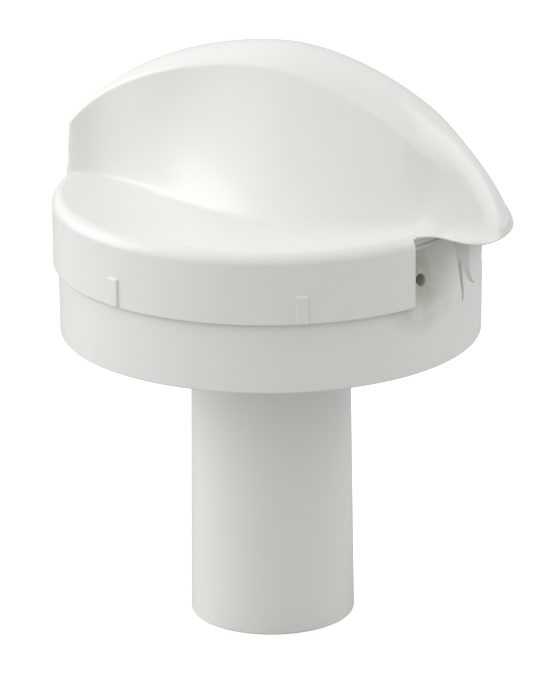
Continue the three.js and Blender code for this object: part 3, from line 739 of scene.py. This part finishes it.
def moulded_plastic(name, colour, shadow_colour, roughness, painted_shade=None):
    """White moulded plastic: slight clouding, orange peel and handling scuffs, with painted shade darkening
    it about a point.
    """
    material, tree, shader = new_material(name)
    cloud = ramp(tree, noise(tree, 28, 3.0), 0.0, 1.0, 0.3, 0.7)
    tint = mix_colour(tree, cloud, colour, shadow_colour)
    scuff = ramp(tree, noise(tree, 160, 3.0), roughness * 0.9, roughness * 1.2)
    tree.links.new(scuff, shader.inputs["Roughness"])
    shader.inputs["IOR"].default_value = 1.5
    if painted_shade:
        tint = add_painted_shade(tree, tint, *painted_shade)
    tree.links.new(tint, shader.inputs["Base Color"])
    bump(tree, shader, noise(tree, 900, 2.0), 0.05, 0.0002, 0.0003)
    return material


def add_painted_shade(tree, colour, centre, inner, outer):
    """Painted shade for the cup's pocket under the hood, fading out unevenly between two distances, in
    millimetres, from a point.
    """
    place_node = tree.nodes.new("ShaderNodeTexCoord")
    gap = tree.nodes.new("ShaderNodeVectorMath")
    gap.operation = "DISTANCE"
    gap.inputs[1].default_value = [c * MM for c in centre]
    tree.links.new(place_node.outputs["Object"], gap.inputs[0])
    near = ramp(tree, gap.outputs["Value"], 1.0, 0.0, inner * MM, outer * MM)
    patchy = ramp(tree, noise(tree, 180, 3.0, 0.6), 0.55, 1.0, 0.3, 0.65)
    both = tree.nodes.new("ShaderNodeMath")
    both.operation = "MULTIPLY"
    tree.links.new(near, both.inputs[0])
    tree.links.new(patchy, both.inputs[1])
    node = tree.nodes.new("ShaderNodeMix")
    node.data_type = "RGBA"
    # painted shade: a greyish darkening of the pocket wall where the hood and skirt shade it
    node.inputs["B"].default_value = (0.42, 0.41, 0.35, 1.0)
    tree.links.new(both.outputs[0], node.inputs["Factor"])
    tree.links.new(colour, node.inputs["A"])
    return node.outputs["Result"]


def seal_rubber(name, colour, dusty):
    material, tree, shader = new_material(name)
    dust = ramp(tree, noise(tree, 220, 4.0, 0.65), 0.0, 1.0, 0.45, 0.8)
    tree.links.new(mix_colour(tree, dust, colour, dusty), shader.inputs["Base Color"])
    tree.links.new(ramp(tree, noise(tree, 300, 3.0), 0.5, 0.75), shader.inputs["Roughness"])
    bump(tree, shader, noise(tree, 2500, 2.0), 0.15, 0.0001, 0.0002)
    return material


def stainless():
    material, tree, shader = new_material("stainless_look")
    shader.inputs["Metallic"].default_value = 1.0
    tone = ramp(tree, noise(tree, 350, 3.0), 0.0, 1.0)
    tree.links.new(mix_colour(tree, tone, (0.62, 0.63, 0.64), (0.5, 0.51, 0.53)), shader.inputs["Base Color"])
    tree.links.new(ramp(tree, noise(tree, 700, 4.0, 0.7), 0.29, 0.42), shader.inputs["Roughness"])
    bump(tree, shader, noise(tree, 3000, 2.0), 0.06, 0.0001, 0.0001)
    return material


def paint(obj, material):
    obj.data.materials.clear()
    obj.data.materials.append(material)


# ---------------------------------------------------------------- assemble

WHITE, WHITE_SHADE = (0.80, 0.815, 0.775), (0.775, 0.79, 0.75)
# centre of the painted shade: in the pocket beside the port, under the hood's overhang
PAINTED_SHADE_R, PAINTED_SHADE_ANGLE, PAINTED_SHADE_Z = POCKET_BACK + 0.5, math.radians(-26), 21.5 * SCALE
painted_shade_point = (PAINTED_SHADE_R * math.cos(PAINTED_SHADE_ANGLE), PAINTED_SHADE_R * math.sin(PAINTED_SHADE_ANGLE), DECK_Z + PAINTED_SHADE_Z)

white = moulded_plastic("white_plastic_look", WHITE, WHITE_SHADE, 0.22)
# the cup's plastic, with painted shade laid into its pocket
shade_painted_white = moulded_plastic("shade_painted_plastic_look", WHITE, WHITE_SHADE, 0.22, (painted_shade_point, 2.5, 13.5))
inner_white = moulded_plastic("inner_plastic_look", (0.70, 0.71, 0.68), (0.66, 0.67, 0.64), 0.38)
rubber = seal_rubber("seal_rubber_look", (0.035, 0.036, 0.037), (0.08, 0.08, 0.078))
pale_rubber = seal_rubber("pale_rubber_look", (0.72, 0.73, 0.70), (0.62, 0.62, 0.6))
steel = stainless()

LOOKS = {
    "white_plastic": white,
    "inner_plastic": inner_white,
    "seal_rubber": rubber,
    "stainless": steel,
}

for part in frame["record"]["subparts"]:
    cad_object = frame["nodes"][part["node"]]
    paint(cad_object, pale_rubber if part["node"] == "lip_gasket" else LOOKS[part["material_slot"]])
    for polygon in cad_object.data.polygons:
        polygon.use_smooth = True
    bevel_edges(cad_object, 0.12, 35, 2)

for piece, body, node, look in [
    (cap_shell(), "cap", "cap_shell", white),
    (base_cup(), "base", "base_cup", shade_painted_white),
    (hose_tail(), "base", "hose_tail", white),
]:
    settle(piece)
    paint(piece, look)
    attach(piece, body)
    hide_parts(node)


# ---------------------------------------------------------------- stage, light and camera


FLOOR_GAP = 0.05  # keeps the floor clear of the tail's end face


def seen_by_camera(tree):
    return tree.nodes.new("ShaderNodeLightPath").outputs["Is Camera Ray"]


def floor():
    """A pale floor that the camera sees as nearly white, with a faint contact shadow, clear from below."""
    bm = bmesh.new()
    bmesh.ops.create_grid(bm, x_segments=1, y_segments=1, size=6000)
    plane = place(to_object("floor", bm), Matrix.Translation((0, 0, DECK_Z + TAIL_FOOT_Z - FLOOR_GAP)))
    material, tree, shader = new_material("floor_look")
    grain = ramp(tree, noise(tree, 40, 3.0), 0.0, 1.0)
    greys = mix_colour(tree, grain, (0.46, 0.46, 0.46), (0.48, 0.48, 0.48))
    tree.links.new(greys, shader.inputs["Base Color"])
    shader.inputs["Roughness"].default_value = 0.9
    shader.inputs["Emission Color"].default_value = (1, 1, 1, 1)
    glow = ramp(tree, seen_by_camera(tree), 0.0, 0.85)
    tree.links.new(glow, shader.inputs["Emission Strength"])
    clear = tree.nodes.new("ShaderNodeBsdfTransparent")
    from_below = tree.nodes.new("ShaderNodeNewGeometry").outputs["Backfacing"]
    either = tree.nodes.new("ShaderNodeMixShader")
    tree.links.new(from_below, either.inputs[0])
    tree.links.new(shader.outputs["BSDF"], either.inputs[1])
    tree.links.new(clear.outputs["BSDF"], either.inputs[2])
    tree.links.new(either.outputs["Shader"], tree.nodes["Material Output"].inputs["Surface"])
    paint(plane, material)


def aimed(azimuth, elevation):
    """A direction; the azimuth is measured from the camera's side, + to its right."""
    a = CAMERA_BEARING + azimuth
    return Vector((math.cos(elevation) * math.cos(a), math.cos(elevation) * math.sin(a), math.sin(elevation)))


def soft_box(name, azimuth, elevation, distance, width, height, power):
    """An area light aimed at the cap."""
    light = bpy.data.lights.new(name, "AREA")
    light.shape = "RECTANGLE"
    light.size = width
    light.size_y = height
    light.energy = power
    obj = bpy.data.objects.new(name, light)
    direction = aimed(azimuth, elevation)
    obj.location = direction * distance
    obj.rotation_euler = (-direction).to_track_quat("-Z", "Y").to_euler()
    bpy.context.scene.collection.objects.link(obj)


CAMERA_BEARING = math.radians(-71)  # where the camera stands, from the fin's direction
CAMERA_RISE = math.radians(18.63)
CAMERA_DISTANCE = 1169 * SCALE * MM
CAMERA_ROLL = math.radians(-0.4)
FOCAL_PER_HEIGHT = 7.43  # focal length over the picture's long side
SENSOR = 36.0
HORIZON_GLOW, ZENITH_GLOW = 0.53, 0.66
WINDOW_GLOW = 0.6
WINDOW_AIM = (math.radians(-95), math.radians(5))


def camera():
    toward = Vector(
        (
            math.cos(CAMERA_RISE) * math.cos(CAMERA_BEARING),
            math.cos(CAMERA_RISE) * math.sin(CAMERA_BEARING),
            math.sin(CAMERA_RISE),
        )
    )
    right = Vector((-math.sin(CAMERA_BEARING), math.cos(CAMERA_BEARING), 0))
    up = toward.cross(right)
    aim = right * (0.85 * SCALE * MM) + Vector((0, 0, (DECK_Z - 2.95 * SCALE) * MM))
    data = bpy.data.cameras.new("camera")
    data.sensor_width = SENSOR
    data.lens = FOCAL_PER_HEIGHT * SENSOR
    data.clip_end = 50
    obj = bpy.data.objects.new("camera", data)
    roll = CAMERA_ROLL
    rolled_right = right * math.cos(roll) + up * math.sin(roll)
    rolled_up = up * math.cos(roll) - right * math.sin(roll)
    turn = Matrix((rolled_right, rolled_up, toward)).transposed().to_4x4()
    obj.matrix_world = Matrix.Translation(aim + toward * CAMERA_DISTANCE) @ turn
    bpy.context.scene.collection.objects.link(obj)
    bpy.context.scene.camera = obj


def world():
    """White for the camera; for everything else a soft glow, brighter overhead and from one side."""
    scene = bpy.context.scene
    scene.world = bpy.data.worlds.new("studio")
    scene.world.use_nodes = True
    tree = scene.world.node_tree
    background = tree.nodes["Background"]
    background.inputs["Color"].default_value = (1, 1, 1, 1)
    direction = tree.nodes.new("ShaderNodeTexCoord")
    height = tree.nodes.new("ShaderNodeSeparateXYZ")
    tree.links.new(direction.outputs["Generated"], height.inputs["Vector"])
    overhead = ramp(tree, height.outputs["Z"], HORIZON_GLOW, ZENITH_GLOW)
    facing = tree.nodes.new("ShaderNodeVectorMath")
    facing.operation = "DOT_PRODUCT"
    facing.inputs[1].default_value = aimed(*WINDOW_AIM)
    tree.links.new(direction.outputs["Generated"], facing.inputs[0])
    window = ramp(tree, facing.outputs["Value"], 0.0, WINDOW_GLOW)
    glow = tree.nodes.new("ShaderNodeMath")
    tree.links.new(overhead, glow.inputs[0])
    tree.links.new(window, glow.inputs[1])
    white_out = tree.nodes.new("ShaderNodeMix")
    white_out.inputs["B"].default_value = 1.05
    tree.links.new(seen_by_camera(tree), white_out.inputs["Factor"])
    tree.links.new(glow.outputs[0], white_out.inputs["A"])
    tree.links.new(white_out.outputs["Result"], background.inputs["Strength"])
    scene.view_settings.view_transform = "Standard"


floor()
world()
camera()
soft_box("key", math.radians(-102), math.radians(22), 1.6, 1.4, 1.4, 11.0)
soft_box("front", math.radians(12), math.radians(50), 1.6, 2.2, 2.2, 5.4)
soft_box("fill", math.radians(108), math.radians(25), 1.4, 0.9, 1.2, 6)
